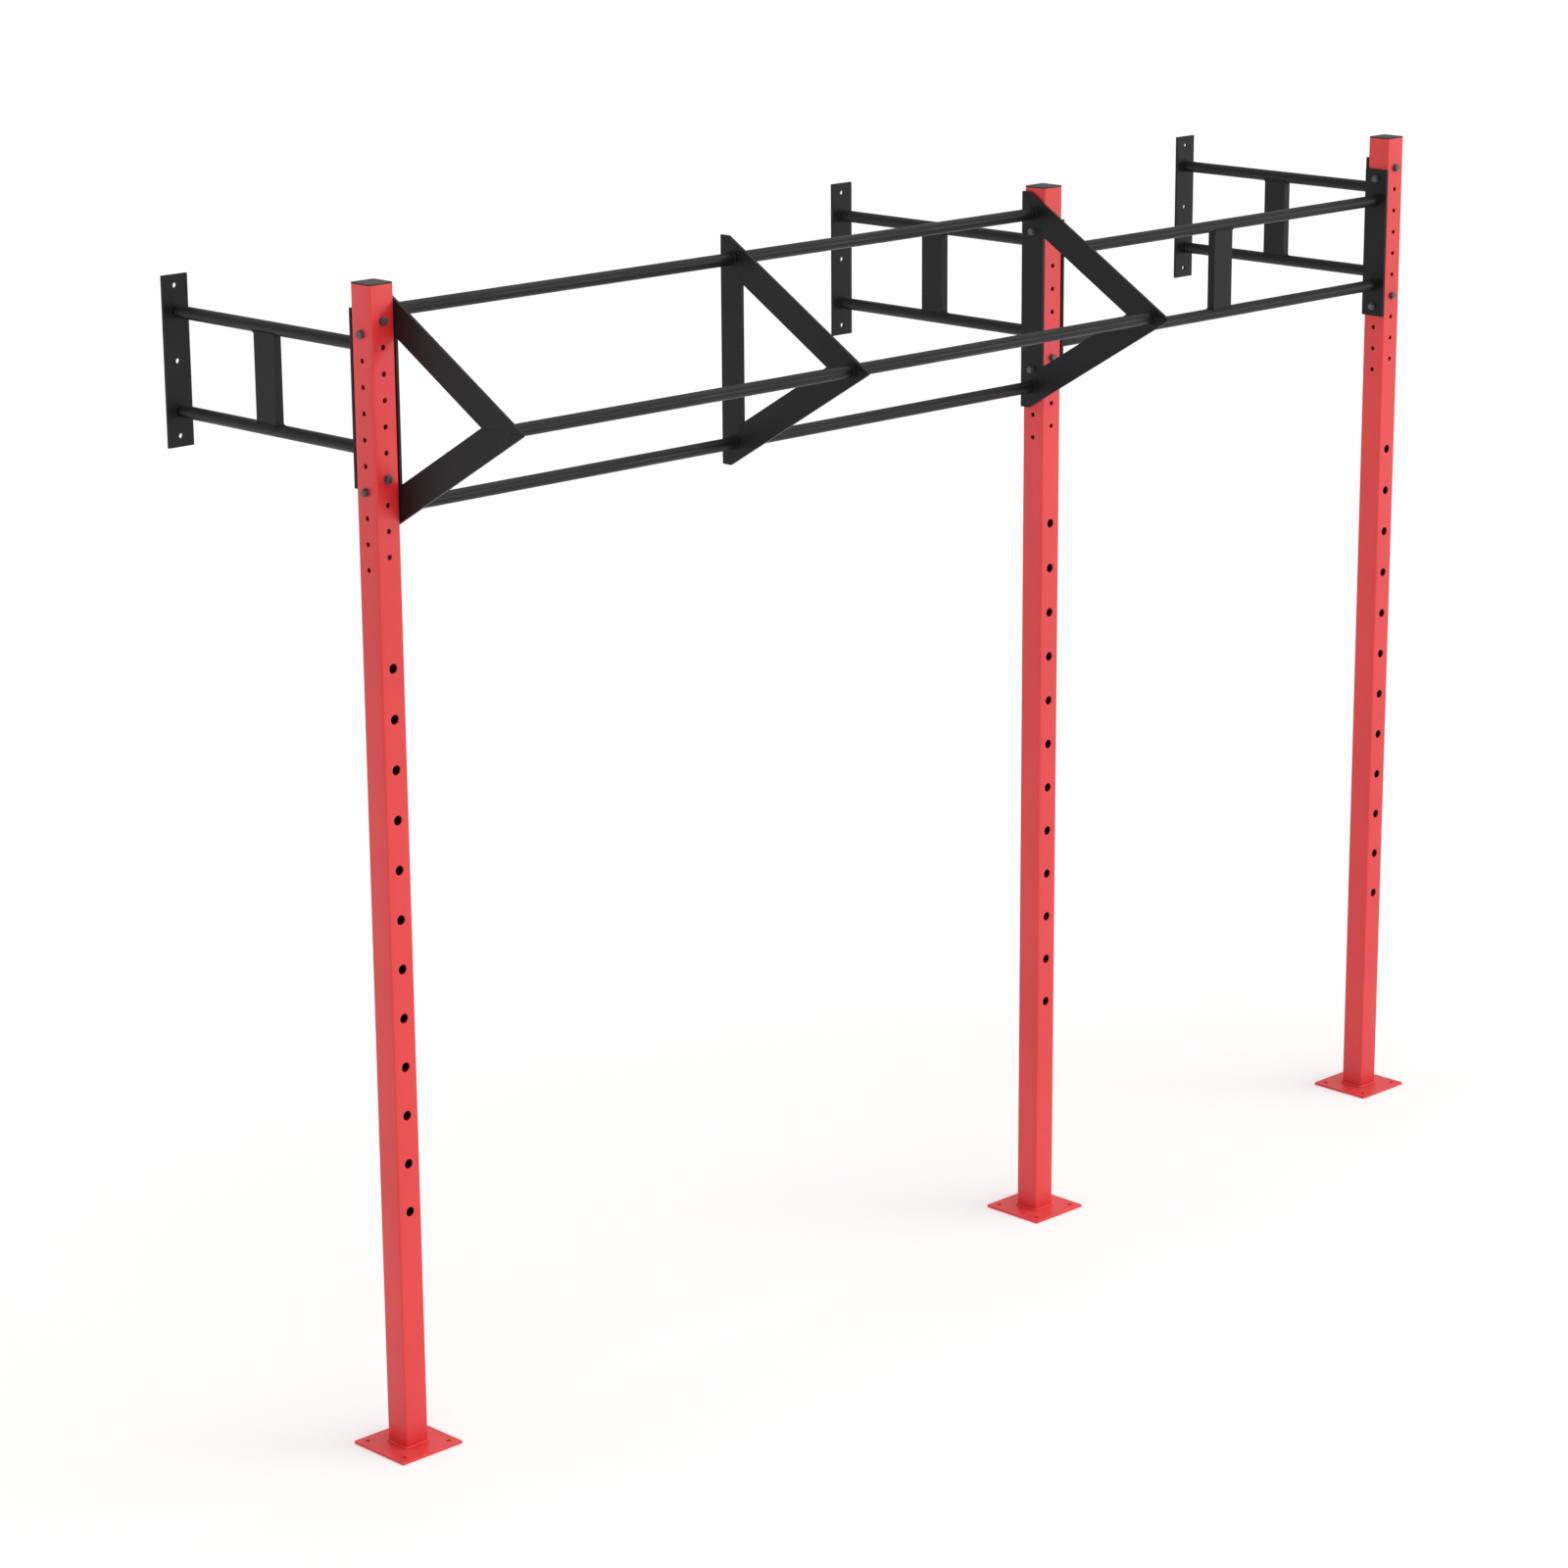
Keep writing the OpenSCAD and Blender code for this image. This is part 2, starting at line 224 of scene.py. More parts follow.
def powder_coat(name, deep, light, thin_coat_and_highlight, dust, gloss, roughness, polish=0.0, bare_steel_and_shade=None):
    """Coated steel: deep and light are the coat's own tones; the lighter edge tone is a thinner coat
    and a painted highlight.

    Polish is how much smoother the coat is in the patches where hands rub it.  The bare tone
    is the colour of the steel that the coat doesn't reach, which the attribute "inside" marks;
    near black, it is painted shade inside the tube as well as bare steel.
    """
    material = bpy.data.materials.new(name)
    material.use_nodes = True
    tree = material.node_tree
    coat = tree.nodes["Principled BSDF"]
    peeled = placed(tree, orange_peel, Peel_Size=0.0022, Grain_Share=0.25)
    # Lighter patches on the rounded edges: a thinner coat, lightened further as a painted highlight.
    thinning_and_highlight = placed(tree, thin_edge_and_highlight, Patch_Size=0.035, Amount=0.55)["Mask"]
    dusty = placed(tree, settled_dust, Amount=dust)["Mask"]
    colour = tinted(tree, peeled["Tone"], deep, light)
    colour = tinted(tree, thinning_and_highlight, colour, thin_coat_and_highlight)
    colour = tinted(tree, dusty, colour, FLOOR_DUST)
    # The inside of the tube is made near black: bare steel, and painted shade inside the tube.
    if bare_steel_and_shade:
        inside = wired(tree, "ShaderNodeAttribute", {"attribute_name": "inside"}).outputs["Fac"]
        colour = tinted(tree, inside, colour, bare_steel_and_shade)
    tree.links.new(colour, coat.inputs["Base Color"])
    shine = maths(tree, "MULTIPLY_ADD", peeled["Height"], roughness[1] - roughness[0], roughness[0])
    shine = maths(tree, "MULTIPLY_ADD", dusty, 0.5, shine)
    if polish:
        rubbed = band(tree, noise(tree, 4.0, 5.0), 0.42, 0.66)
        shine = maths(tree, "MULTIPLY_ADD", rubbed, -polish, shine)
    tree.links.new(shine, coat.inputs["Roughness"])
    coat.inputs["Specular IOR Level"].default_value = gloss
    bump = wired(tree, "ShaderNodeBump", Strength=0.5, Distance=0.0004, Height=peeled["Height"])
    tree.links.new(bump.outputs["Normal"], coat.inputs["Normal"])
    return material


def finished(mesh, name, material, slot, *nodes):
    """A piece of the rig with its mesh in place, its finish, and the nodes it stands for."""
    piece = bpy.data.objects.new(name, mesh)
    bpy.context.scene.collection.objects.link(piece)
    mesh.materials.clear()
    mesh.materials.append(material)
    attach(piece, "root")
    if nodes:
        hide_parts(*nodes)
    return piece


def softened(node, edge_round, material, slot):
    """The shape of a CAD node with its edges rounded, as dressed and coated steel has them."""
    shape = bmesh.new()
    shape.from_mesh(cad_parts[node].data)
    bmesh.ops.remove_doubles(shape, verts=shape.verts, dist=1e-6)
    bmesh.ops.dissolve_limit(shape, angle_limit=math.radians(0.5), verts=shape.verts,
                             edges=shape.edges)
    sharp = bpy.data.meshes.new(node + "_sharp")
    shape.to_mesh(sharp)
    shape.free()
    for layer in ("custom_normal", "sharp_edge", "sharp_face"):
        if layer in sharp.attributes:
            sharp.attributes.remove(sharp.attributes[layer])
    sharp.shade_smooth()

    # The second material slot tells the rounded edges from the flat faces.
    for _ in range(2):
        sharp.materials.append(material)
    block = bpy.data.objects.new(node + "_sharp", sharp)
    bpy.context.scene.collection.objects.link(block)
    bevel = block.modifiers.new("edge", "BEVEL")
    bevel.width = edge_round
    bevel.segments = 3
    bevel.limit_method = "ANGLE"
    bevel.angle_limit = math.radians(35)
    bevel.harden_normals = True
    bevel.material = 1
    graph = bpy.context.evaluated_depsgraph_get()
    mesh = bpy.data.meshes.new_from_object(block.evaluated_get(graph))
    bpy.data.objects.remove(block)
    bpy.data.meshes.remove(sharp)

    rounded = mesh.attributes.new("edge", "FLOAT", "FACE")
    for face, mark in zip(mesh.polygons, rounded.data):
        mark.value = face.material_index
        face.material_index = 0
    mesh.name = node + "_coated"
    return finished(mesh, node + "_coated", material, slot, node)


rig_red = powder_coat("red_coat", deep=(0.69, 0.017, 0.019), light=(0.77, 0.027, 0.029),
                      # The light edge tone is a painted highlight along the rounded edges, as well as
                      # a thinner coat.
                      thin_coat_and_highlight=(0.82, 0.16, 0.14), dust=0.12, gloss=0.65, roughness=(0.34, 0.44),
                      # The near-black bare tone is painted shade inside the tubes, as well as bare
                      # steel.
                      bare_steel_and_shade=(0.020, 0.017, 0.016))
plate_round = 0.0010
for side in SIDES:
    softened(side + "_base_plate", plate_round, rig_red, "red_powder_coat")

# ---- Base plate welds ------------------------------------------------------------
# One pass of weld all round the foot of each upright.  The arc leaves the bead in
# overlapping ripples, which still show through the coat.


def shaping_tree(name, **sizes):
    """A Geometry Nodes tree that takes points or lines, a finish and named sizes in metres."""
    tree = bpy.data.node_groups.new(name, "GeometryNodeTree")
    tree.interface.new_socket("Geometry", in_out="INPUT", socket_type="NodeSocketGeometry")
    tree.interface.new_socket("Finish", in_out="INPUT", socket_type="NodeSocketMaterial")
    for label, value in sizes.items():
        kind = "NodeSocketVector" if isinstance(value, tuple) else "NodeSocketFloat"
        size = tree.interface.new_socket(label.replace("_", " "), in_out="INPUT", socket_type=kind)
        size.default_value = value
    tree.interface.new_socket("Geometry", in_out="OUTPUT", socket_type="NodeSocketGeometry")
    return tree, tree.nodes.new("NodeGroupInput").outputs


def ended(tree, shape, finish):
    """Ends a tree: its copies are made real and get their finish."""
    real = wired(tree, "GeometryNodeRealizeInstances", Geometry=shape)
    coated = wired(tree, "GeometryNodeSetMaterial", Geometry=real.outputs[0], Material=finish)
    wired(tree, "NodeGroupOutput", Geometry=coated.outputs[0])


def shaped(tree, name, seeds, finish, **sizes):
    """Runs a tree on a mesh of points or lines, and returns what it makes as a plain mesh."""
    block = bpy.data.objects.new(name, seeds)
    bpy.context.scene.collection.objects.link(block)
    growth = block.modifiers.new("growth", "NODES")
    growth.node_group = tree
    sockets = {item.name: item.identifier for item in tree.interface.items_tree
               if item.in_out == "INPUT"}
    for label, value in {"Finish": finish, **sizes}.items():
        growth[sockets[label.replace("_", " ")]] = value
    graph = bpy.context.evaluated_depsgraph_get()
    mesh = bpy.data.meshes.new_from_object(block.evaluated_get(graph))
    bpy.data.objects.remove(block)
    bpy.data.meshes.remove(seeds)
    mesh.name = name
    return mesh


weld_bead, taken = shaping_tree("weld_bead", Bead_Radius=0.003, Ripple_Pitch=0.0024,
                                Ripple_Depth=0.14, Unevenness=0.22)
line = wired(weld_bead, "GeometryNodeMeshToCurve", Mesh=taken["Geometry"]).outputs[0]
line = wired(weld_bead, "GeometryNodeResampleCurve", {"mode": "LENGTH"}, Curve=line,
             Length=maths(weld_bead, "DIVIDE", taken["Ripple Pitch"], 4.0)).outputs[0]
along = wired(weld_bead, "GeometryNodeSplineParameter").outputs["Length"]
turns = maths(weld_bead, "DIVIDE", maths(weld_bead, "MULTIPLY", along, math.pi),
              taken["Ripple Pitch"])
ripple = maths(weld_bead, "ABSOLUTE", maths(weld_bead, "SINE", turns))
ripple = maths(weld_bead, "MULTIPLY", maths(weld_bead, "SUBTRACT", ripple, 1.0),
               taken["Ripple Depth"])
spot = wired(weld_bead, "GeometryNodeInputPosition").outputs[0]
waver = wired(weld_bead, "ShaderNodeTexNoise", Vector=spot, Scale=70.0, Detail=2.0).outputs["Fac"]
waver = maths(weld_bead, "MULTIPLY", maths(weld_bead, "SUBTRACT", waver, 0.5), taken["Unevenness"])
swell = maths(weld_bead, "ADD", maths(weld_bead, "ADD", ripple, waver), 1.0)
ring = wired(weld_bead, "GeometryNodeCurvePrimitiveCircle", Resolution=8,
             Radius=taken["Bead Radius"]).outputs[0]
bead = wired(weld_bead, "GeometryNodeCurveToMesh", Curve=line, Profile_Curve=ring, Scale=swell,
             Fill_Caps=True).outputs[0]
bead = wired(weld_bead, "GeometryNodeSetShadeSmooth", Geometry=bead).outputs[0]
ended(weld_bead, bead, taken["Finish"])


def weld(name, paths, closed, material, slot, radius):
    """A piece of weld bead along each path of points."""
    points, edges = [], []
    for path in paths:
        first = len(points)
        points += path
        edges += [(first + step, first + step + 1) for step in range(len(path) - 1)]
        if closed:
            edges.append((len(points) - 1, first))
    seeds = bpy.data.meshes.new(name + "_path")
    seeds.from_pydata(points, edges, [])
    return finished(shaped(weld_bead, name, seeds, material, Bead_Radius=radius),
                    name, material, slot)


sink_share = 0.35
foot_bead = 0.0036
foot_sink = sink_share * foot_bead
tube_corner = 0.006
foot_paths = []
for side in SIDES:
    foot_low, foot_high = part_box(side + "_upright")
    path = []
    for quarter in range(4):
        x_way, y_way = ((1, 1), (-1, 1), (-1, -1), (1, -1))[quarter]
        pivot = Vector(((foot_high.x if x_way > 0 else foot_low.x) - x_way * tube_corner,
                        (foot_high.y if y_way > 0 else foot_low.y) - y_way * tube_corner,
                        foot_low.z + foot_sink))
        for step in range(7):
            turn = math.radians(90 * quarter + 15 * step)
            path.append(pivot + (tube_corner + foot_sink)
                        * Vector((math.cos(turn), math.sin(turn), 0)))
    foot_paths.append(path)
weld("base_plate_welds", foot_paths, True, rig_red, "red_powder_coat", foot_bead)

# ---- Uprights --------------------------------------------------------------------
# Cold-formed square tube, laser cut with a row of peg holes and, higher up, rows of
# bolt holes in all four walls.  The coat rounds the cut edges, but hardly gets inside,
# where the steel keeps its dark mill scale, painted near black as the shade inside the tube.

tube_round = 0.0006
tube_wall = 0.004
hair = 0.0002
for side in SIDES:
    tube = softened(side + "_upright", tube_round, rig_red, "red_powder_coat").data
    tube_low, tube_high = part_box(side + "_upright")
    bore_reach = (tube_high.x - tube_low.x) / 2 - tube_wall + hair
    # Faces inside the bore take the bare tone: bare steel, painted near black as the shade inside the
    # tube.
    inside = tube.attributes.new("inside", "FLOAT", "FACE")
    for face, mark in zip(tube.polygons, inside.data):
        off = face.center - (tube_low + tube_high) / 2
        mark.value = max(abs(off.x), abs(off.y)) < bore_reach

# ---- End caps --------------------------------------------------------------------
# Moulded black plastic caps that push into the tops of the uprights.  The mould was
# spark eroded, so their skin is matt with a fine even grain.

cap_plastic = bpy.data.materials.new("moulded_cap_plastic")
cap_plastic.use_nodes = True
tree = cap_plastic.node_tree
skin = tree.nodes["Principled BSDF"]
sparked = noise(tree, 1600.0, 2.0)
scuffed = band(tree, noise(tree, 22.0, 5.0), 0.50, 0.72)
cap_tone = tinted(tree, band(tree, sparked, 0.3, 0.7), (0.014, 0.014, 0.015), (0.024, 0.024, 0.025))
cap_tone = tinted(tree, scuffed, cap_tone, (0.034, 0.034, 0.035))
dusty = placed(tree, settled_dust, Amount=0.10)["Mask"]
tree.links.new(tinted(tree, dusty, cap_tone, FLOOR_DUST), skin.inputs["Base Color"])
tree.links.new(maths(tree, "MULTIPLY_ADD", scuffed, -0.12, 0.62), skin.inputs["Roughness"])
skin.inputs["Specular IOR Level"].default_value = 0.4
bump = wired(tree, "ShaderNodeBump", Strength=0.5, Distance=0.0001, Height=sparked)
tree.links.new(bump.outputs["Normal"], skin.inputs["Normal"])
cap_round = 0.0016
for side in SIDES:
    softened(side + "_upright_cap", cap_round, cap_plastic, "black_end_caps")

# ---- Wall bracket plates and struts ----------------------------------------------
# Each bracket has a plate for the wall, a plate for the upright, and a short strut of
# rectangular tube between its bars.  Cut from flat bar and tube, and coated black.

# The edge tone of the black coat is far lighter than the coat: a painted highlight along the rounded
# edges.
BLACK_TONES = {"deep": (0.0060, 0.0060, 0.0066), "light": (0.0095, 0.0095, 0.0102),
               "thin_coat_and_highlight": (0.05, 0.05, 0.05), "dust": 0.04}
frame_black = powder_coat("black_coat", gloss=0.22, roughness=(0.40, 0.52), **BLACK_TONES)
for side in SIDES:
    for part in ("wall_plate", "post_plate", "strut"):
        softened(f"{side}_bracket_{part}", plate_round, frame_black, "black_powder_coat")

# ---- Wall bracket bars -----------------------------------------------------------
# Two round tubes from the upright's plate to the wall's plate, coated black.  The
# coat is a little smoother in patches, where straps and hands rub it.

bar_black = powder_coat("black_coat_bars", gloss=0.25, roughness=(0.40, 0.50), polish=0.10,
                        **BLACK_TONES)


def coat_node(node, material):
    """Gives a CAD node its finish and leaves its shape alone."""
    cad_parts[node].data.materials.clear()
    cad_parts[node].data.materials.append(material)


for side in SIDES:
    coat_node(side + "_bracket_upper_bar", bar_black)
    coat_node(side + "_bracket_lower_bar", bar_black)

# ---- Wall bracket welds ----------------------------------------------------------
# Both ends of each bar are welded all round to their plates, and the ends of each
# strut to the bars that they sit on.

frame_bead = 0.0030
frame_sink = sink_share * frame_bead


def bar_ends(bar, axis):
    """Where the welds at both ends of a bar lie along it."""
    low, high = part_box(bar)
    return low[axis] + frame_sink, high[axis] - frame_sink


def bar_ring(bar, axis, station):
    """Points round a bar, at a station along it."""
    low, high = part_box(bar)
    centre = (low + high) / 2
    centre[axis] = station
    across, rise = (axis + 1) % 3, (axis + 2) % 3
    radius = (high[across] - low[across]) / 2 + frame_sink
    points = []
    for step in range(36):
        point = centre.copy()
        point[across] += radius * math.cos(math.radians(10 * step))
        point[rise] += radius * math.sin(math.radians(10 * step))
        points.append(point)
    return points


def strut_loop(strut, bar, axis):
    """Points round the end of a strut, cut to sit on a bar that runs along an axis."""
    low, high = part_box(strut)
    bar_low, bar_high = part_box(bar)
    radius = (bar_high.z - bar_low.z) / 2 + frame_sink
    bar_z = (bar_high.z + bar_low.z) / 2
    side_way = 1 if (low.z + high.z) / 2 > bar_z else -1
    middle = (low + high) / 2
    half_width = (high[axis] - low[axis]) / 2 + frame_sink
    half_depth = (high[1 - axis] - low[1 - axis]) / 2 + frame_sink
    points = []
    for end in (1, -1):
        for step in range(9):
            across = end * half_depth * (1 - step / 4)
            point = middle.copy()
            point[axis] += end * half_width
            point[1 - axis] += across
            point.z = bar_z + side_way * math.sqrt(radius ** 2 - across ** 2)
            points.append(point)
    return points


bracket_paths = []
for side in SIDES:
    for part in ("upper_bar", "lower_bar"):
        bar = f"{side}_bracket_{part}"
        bracket_paths += [bar_ring(bar, 1, station) for station in bar_ends(bar, 1)]
        bracket_paths.append(strut_loop(side + "_bracket_strut", bar, 1))
weld("bracket_welds", bracket_paths, True, frame_black, "black_powder_coat", frame_bead)

# ---- Bracket bolts ---------------------------------------------------------------
# Two M12 bolts hold each bracket.  They run through the upright from the front, with
# a washer under the head and another under the nut.  The steel is coated with dark
# zinc flake, dull grey and a little uneven.

# A hexagon whose top corners are turned off at 30 degrees, cut out of a steep cone.
chamfered_hexagon = bpy.data.node_groups.new("chamfered_hexagon", "GeometryNodeTree")
for label in ("Across Flats", "Height"):
    chamfered_hexagon.interface.new_socket(label, in_out="INPUT", socket_type="NodeSocketFloat")
chamfered_hexagon.interface.new_socket("Solid", in_out="OUTPUT", socket_type="NodeSocketGeometry")
taken = chamfered_hexagon.nodes.new("NodeGroupInput").outputs
corner_radius = maths(chamfered_hexagon, "DIVIDE", taken["Across Flats"], 2 * math.cos(math.pi / 6))
prism = wired(chamfered_hexagon, "GeometryNodeMeshCylinder", Vertices=6, Radius=corner_radius,
              Depth=taken["Height"]).outputs["Mesh"]
past = maths(chamfered_hexagon, "MULTIPLY", taken["Across Flats"], 0.1)
cone_depth = maths(chamfered_hexagon, "MULTIPLY_ADD", past, 2.0, taken["Height"])
face_radius = maths(chamfered_hexagon, "MULTIPLY", taken["Across Flats"], 0.475)
cone_slope = 1.732
cone = wired(chamfered_hexagon, "GeometryNodeMeshCone", Vertices=72, Depth=cone_depth)
chamfered_hexagon.links.new(
    maths(chamfered_hexagon, "MULTIPLY_ADD", past, -cone_slope, face_radius),
    cone.inputs["Radius Top"])
foot_reach = maths(chamfered_hexagon, "ADD", past, taken["Height"])
chamfered_hexagon.links.new(
    maths(chamfered_hexagon, "MULTIPLY_ADD", foot_reach, cone_slope, face_radius),
    cone.inputs["Radius Bottom"])
cone_base = maths(chamfered_hexagon, "MULTIPLY", cone_depth, -0.5)
cone_place = wired(chamfered_hexagon, "ShaderNodeCombineXYZ", Z=cone_base).outputs[0]
cone = wired(chamfered_hexagon, "GeometryNodeTransform", Geometry=cone.outputs["Mesh"],
             Translation=cone_place).outputs[0]
solid = wired(chamfered_hexagon, "GeometryNodeMeshBoolean",
              {"operation": "INTERSECT", "solver": "EXACT"}, Mesh_2=prism)
chamfered_hexagon.links.new(cone, solid.inputs["Mesh 2"])
wired(chamfered_hexagon, "NodeGroupOutput", Solid=solid.outputs["Mesh"])


def edges_kept(tree, solid):
    """Smooth faces with every edge of more than 30 degrees kept sharp."""
    solid = wired(tree, "GeometryNodeSetShadeSmooth", Geometry=solid).outputs[0]
    angle = wired(tree, "GeometryNodeInputMeshEdgeAngle").outputs["Unsigned Angle"]
    crease = maths(tree, "GREATER_THAN", angle, math.radians(30))
    return wired(tree, "GeometryNodeSetShadeSmooth", {"domain": "EDGE"}, Geometry=solid,
                 Selection=crease, Shade_Smooth=False).outputs[0]


def raised(tree, solid, height):
    """Moves a solid up its own axis."""
    place = wired(tree, "ShaderNodeCombineXYZ", Z=height).outputs[0]
    return wired(tree, "GeometryNodeTransform", Geometry=solid, Translation=place).outputs[0]


def on_each_point(tree, solid, points, turn):
    """A copy of the solid on each point, turned the way that its bolt runs."""
    return wired(tree, "GeometryNodeInstanceOnPoints", Points=points, Instance=solid,
                 Rotation=turn).outputs[0]


# A bolt stands with the underside of its head on its point; Reach is its length from there.
hex_bolt, taken = shaping_tree("hex_bolt", Turn=(0.0, 0.0, 0.0), Across_Flats=0.018,
                               Head_Height=0.0075, Diameter=0.012, Reach=0.1,
                               Thread_Length=0.012, Thread_Pitch=0.00175, Thread_Depth=0.0009)
head = wired(hex_bolt, "GeometryNodeGroup", {"node_tree": chamfered_hexagon},
             Across_Flats=taken["Across Flats"], Height=taken["Head Height"]).outputs["Solid"]
head = wired(hex_bolt, "GeometryNodeTransform", Geometry=head, Rotation=(math.pi, 0, 0)).outputs[0]
head = raised(hex_bolt, head, maths(hex_bolt, "MULTIPLY", taken["Head Height"], -0.5))
bolt_radius = maths(hex_bolt, "MULTIPLY", taken["Diameter"], 0.498)
shank_length = maths(hex_bolt, "SUBTRACT", taken["Reach"], taken["Thread Length"])
shank_root = 0.002
shank = wired(hex_bolt, "GeometryNodeMeshCylinder", Vertices=32, Radius=bolt_radius,
              Depth=maths(hex_bolt, "ADD", shank_length, shank_root)).outputs["Mesh"]
shank = raised(hex_bolt, shank, maths(hex_bolt, "MULTIPLY_ADD", shank_length, 0.5, -shank_root / 2))
rings = maths(hex_bolt, "DIVIDE", taken["Thread Length"], taken["Thread Pitch"])
thread = wired(hex_bolt, "GeometryNodeMeshCylinder", Vertices=32, Radius=bolt_radius,
               Depth=taken["Thread Length"],
               Side_Segments=maths(hex_bolt, "MULTIPLY", rings, 8.0)).outputs["Mesh"]
spot = wired(hex_bolt, "ShaderNodeSeparateXYZ",
             Vector=wired(hex_bolt, "GeometryNodeInputPosition").outputs[0]).outputs
angle = maths(hex_bolt, "ARCTAN2", spot["Y"], spot["X"])
climb = maths(hex_bolt, "DIVIDE", maths(hex_bolt, "MULTIPLY", spot["Z"], 2 * math.pi),
              taken["Thread Pitch"])
groove = maths(hex_bolt, "COSINE", maths(hex_bolt, "SUBTRACT", climb, angle))
groove = maths(hex_bolt, "MULTIPLY_ADD", groove, 0.5, 0.5)
groove = maths(hex_bolt, "MULTIPLY", groove, taken["Thread Depth"])
to_tip = maths(hex_bolt, "SUBTRACT", maths(hex_bolt, "MULTIPLY", taken["Thread Length"], 0.5),
               spot["Z"])
tip_chamfer = 0.0014
taper = maths(hex_bolt, "SUBTRACT", tip_chamfer, to_tip)
inward = maths(hex_bolt, "MAXIMUM", groove, taper)
thinner = maths(hex_bolt, "SUBTRACT", 1.0, maths(hex_bolt, "DIVIDE", inward, bolt_radius))
turned = wired(hex_bolt, "ShaderNodeCombineXYZ", X=maths(hex_bolt, "MULTIPLY", spot["X"], thinner),
               Y=maths(hex_bolt, "MULTIPLY", spot["Y"], thinner), Z=spot["Z"]).outputs[0]
thread = wired(hex_bolt, "GeometryNodeSetPosition", Geometry=thread, Position=turned).outputs[0]
thread = raised(hex_bolt, thread, maths(hex_bolt, "MULTIPLY_ADD", taken["Thread Length"], 0.5,
                                        shank_length))
bolt = wired(hex_bolt, "GeometryNodeJoinGeometry", Geometry=head)
hex_bolt.links.new(shank, bolt.inputs[0])
hex_bolt.links.new(thread, bolt.inputs[0])
bolt = on_each_point(hex_bolt, edges_kept(hex_bolt, bolt.outputs[0]), taken["Geometry"],
                     taken["Turn"])
ended(hex_bolt, bolt, taken["Finish"])

# A nut stands with its bearing face on its point.
hex_nut, taken = shaping_tree("hex_nut", Turn=(0.0, 0.0, 0.0), Across_Flats=0.018,
                              Height=0.0108, Bore=0.012)
nut = wired(hex_nut, "GeometryNodeGroup", {"node_tree": chamfered_hexagon},
            Across_Flats=taken["Across Flats"], Height=taken["Height"]).outputs["Solid"]
bore = wired(hex_nut, "GeometryNodeMeshCylinder", Vertices=32,
             Radius=maths(hex_nut, "MULTIPLY", taken["Bore"], 0.5),
             Depth=maths(hex_nut, "MULTIPLY", taken["Height"], 1.2)).outputs["Mesh"]
nut = wired(hex_nut, "GeometryNodeMeshBoolean", {"operation": "DIFFERENCE", "solver": "EXACT"},
            Mesh_1=nut, Mesh_2=bore).outputs["Mesh"]
nut = raised(hex_nut, nut, maths(hex_nut, "MULTIPLY", taken["Height"], 0.5))
nut = on_each_point(hex_nut, edges_kept(hex_nut, nut), taken["Geometry"], taken["Turn"])
ended(hex_nut, nut, taken["Finish"])

# A washer is punched from sheet, which leaves its rims slightly round; it lies on its point.
plain_washer, taken = shaping_tree("plain_washer", Turn=(0.0, 0.0, 0.0), Diameter=0.0228,
                                   Bore=0.013, Thickness=0.0025, Rim_Round=0.0005)
ring = wired(plain_washer, "GeometryNodeCurvePrimitiveCircle", Resolution=48, Radius=maths(
    plain_washer, "MULTIPLY", maths(plain_washer, "ADD", taken["Diameter"], taken["Bore"]), 0.25))
wall = maths(plain_washer, "MULTIPLY",
             maths(plain_washer, "SUBTRACT", taken["Diameter"], taken["Bore"]), 0.5)
section = wired(plain_washer, "GeometryNodeCurvePrimitiveQuadrilateral", Width=wall,
                Height=taken["Thickness"]).outputs[0]
section = wired(plain_washer, "GeometryNodeFilletCurve", {"mode": "POLY"}, Curve=section,
                Count=2, Radius=taken["Rim Round"]).outputs[0]
washer = wired(plain_washer, "GeometryNodeCurveToMesh", Curve=ring.outputs[0],
               Profile_Curve=section).outputs[0]
washer = raised(plain_washer, washer, maths(plain_washer, "MULTIPLY", taken["Thickness"], 0.5))
washer = on_each_point(plain_washer, edges_kept(plain_washer, washer), taken["Geometry"],
                       taken["Turn"])
ended(plain_washer, washer, taken["Finish"])

zinc_flake = bpy.data.materials.new("zinc_flake_coat")
zinc_flake.use_nodes = True
tree = zinc_flake.node_tree
steel = tree.nodes["Principled BSDF"]
cloudy = band(tree, noise(tree, 60.0, 4.0), 0.32, 0.68)
speckle = noise(tree, 1400.0, 2.0)
tree.links.new(tinted(tree, cloudy, (0.080, 0.080, 0.083), (0.135, 0.135, 0.139)),
               steel.inputs["Base Color"])
tree.links.new(maths(tree, "MULTIPLY_ADD", speckle, 0.25, 0.36), steel.inputs["Roughness"])
steel.inputs["Metallic"].default_value = 0.75
bump = wired(tree, "ShaderNodeBump", Strength=0.4, Distance=0.0001, Height=speckle)
tree.links.new(bump.outputs["Normal"], steel.inputs["Normal"])

across_flats = 0.018
washer_thickness = 0.0025
thread_in_nut = 0.004


